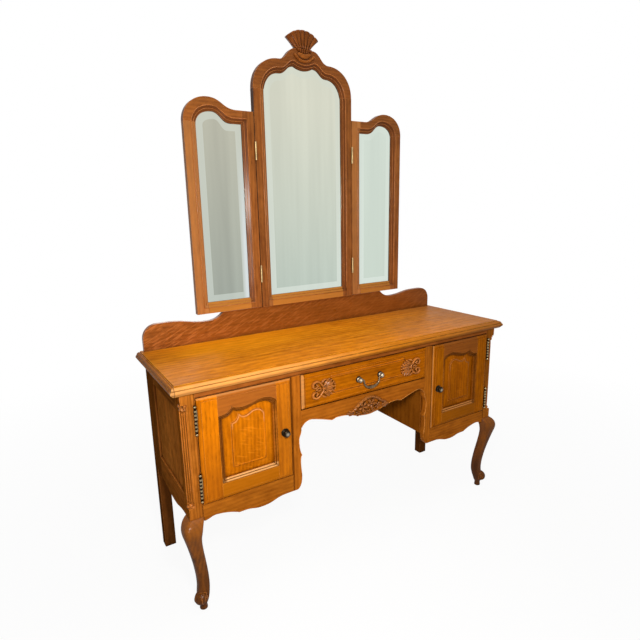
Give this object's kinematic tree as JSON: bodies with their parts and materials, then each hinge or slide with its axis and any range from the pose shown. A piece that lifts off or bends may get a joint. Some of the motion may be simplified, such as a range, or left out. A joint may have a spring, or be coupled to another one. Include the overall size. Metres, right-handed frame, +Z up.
{
  "type": "dressing table",
  "caption": "Carved oak dressing table with door cabinets either side of a drawer and kneehole, cabriole front legs, and a folding wing mirror with a fan crest.",
  "frame": {"origin": "on the floor, at the middle of the footprint", "axes": "+Z up, +X to the right for someone facing the front, and the front with its doors and drawer faces -Y"},
  "size_m": [1.418, 0.477, 1.916],
  "materials": {
    "oak_top": "satin varnish",
    "oak_frame": "satin varnish",
    "oak_panel": "satin varnish",
    "oak_leg": "gloss varnish",
    "oak_mirror_frame": "satin varnish",
    "inner_wood": "bare wood",
    "plywood": "bare plywood",
    "mirror_glass": "silvered and bevelled",
    "brass": "polished",
    "bronze": "antiqued",
    "steel": "zinc plated"
  },
  "bodies": {
    "case": {"table_top": "oak_top", "backboard": "oak_panel", "front_left_post": "oak_frame", "front_right_post": "oak_frame", "front_left_leg": "oak_leg", "front_right_leg": "oak_leg", "rear_left_post": "oak_frame", "rear_right_post": "oak_frame", "inner_left_post": "oak_frame", "inner_right_post": "oak_frame", "front_top_rail": "oak_frame", "rear_top_rail": "inner_wood", "kneehole_apron": "oak_frame", "left_door_apron": "oak_frame", "right_door_apron": "oak_frame", "left_side_rails": "oak_frame", "right_side_rails": "oak_frame", "left_side_panel": "oak_panel", "right_side_panel": "oak_panel", "left_inner_side": "oak_panel", "right_inner_side": "oak_panel", "cabinet_floors": "oak_frame", "back_panels": "plywood", "drawer_runners": "inner_wood", "door_hinge_pins": "brass", "door_catches": "steel", "center_mirror_stiles": "oak_mirror_frame", "center_mirror_rails": "oak_mirror_frame", "center_mirror_glass": "mirror_glass", "center_mirror_back": "plywood", "finial": "oak_mirror_frame", "mirror_supports": "inner_wood", "support_screws": "steel", "wing_hinge_pins": "brass"},
    "drawer": {"drawer_front": "oak_frame", "drawer_sides": "inner_wood", "drawer_back": "inner_wood", "drawer_bottom": "plywood", "handle_posts": "bronze"},
    "handle_bail": {"handle_bail": "bronze"},
    "left_door": {"left_door_stiles": "oak_frame", "left_door_rails": "oak_frame", "left_door_panel": "oak_panel", "left_door_knob": "bronze", "left_door_hinge_sleeves": "brass"},
    "right_door": {"right_door_stiles": "oak_frame", "right_door_rails": "oak_frame", "right_door_panel": "oak_panel", "right_door_knob": "bronze", "right_door_hinge_sleeves": "brass"},
    "left_wing": {"left_wing_stiles": "oak_mirror_frame", "left_wing_rails": "oak_mirror_frame", "left_wing_glass": "mirror_glass", "left_wing_back": "plywood", "left_wing_hinge_sleeves": "brass"},
    "right_wing": {"right_wing_stiles": "oak_mirror_frame", "right_wing_rails": "oak_mirror_frame", "right_wing_glass": "mirror_glass", "right_wing_back": "plywood", "right_wing_hinge_sleeves": "brass"}
  },
  "joints": [
    {"name": "drawer_slide", "type": "slide", "parent": "case", "child": "drawer", "axis": [0, -1, 0], "range_m": [0, 0.26]},
    {"name": "handle_swing", "type": "hinge", "parent": "drawer", "child": "handle_bail", "pos_m": [0, -0.2265, 0.668], "axis": [-1, 0, 0], "range_deg": [-10, 85]},
    {"name": "left_door_swing", "type": "hinge", "parent": "case", "child": "left_door", "pos_m": [-0.639, -0.21, 0.55], "axis": [0, 0, -1], "range_deg": [0, 110]},
    {"name": "right_door_swing", "type": "hinge", "parent": "case", "child": "right_door", "pos_m": [0.639, -0.21, 0.55], "axis": [0, 0, 1], "range_deg": [0, 110]},
    {"name": "left_wing_swing", "type": "hinge", "parent": "case", "child": "left_wing", "pos_m": [-0.218, 0.1905, 1.245], "axis": [0, 0, 1], "range_deg": [0, 120]},
    {"name": "right_wing_swing", "type": "hinge", "parent": "case", "child": "right_wing", "pos_m": [0.218, 0.1905, 1.245], "axis": [0, 0, -1], "range_deg": [0, 120]}
  ]
}
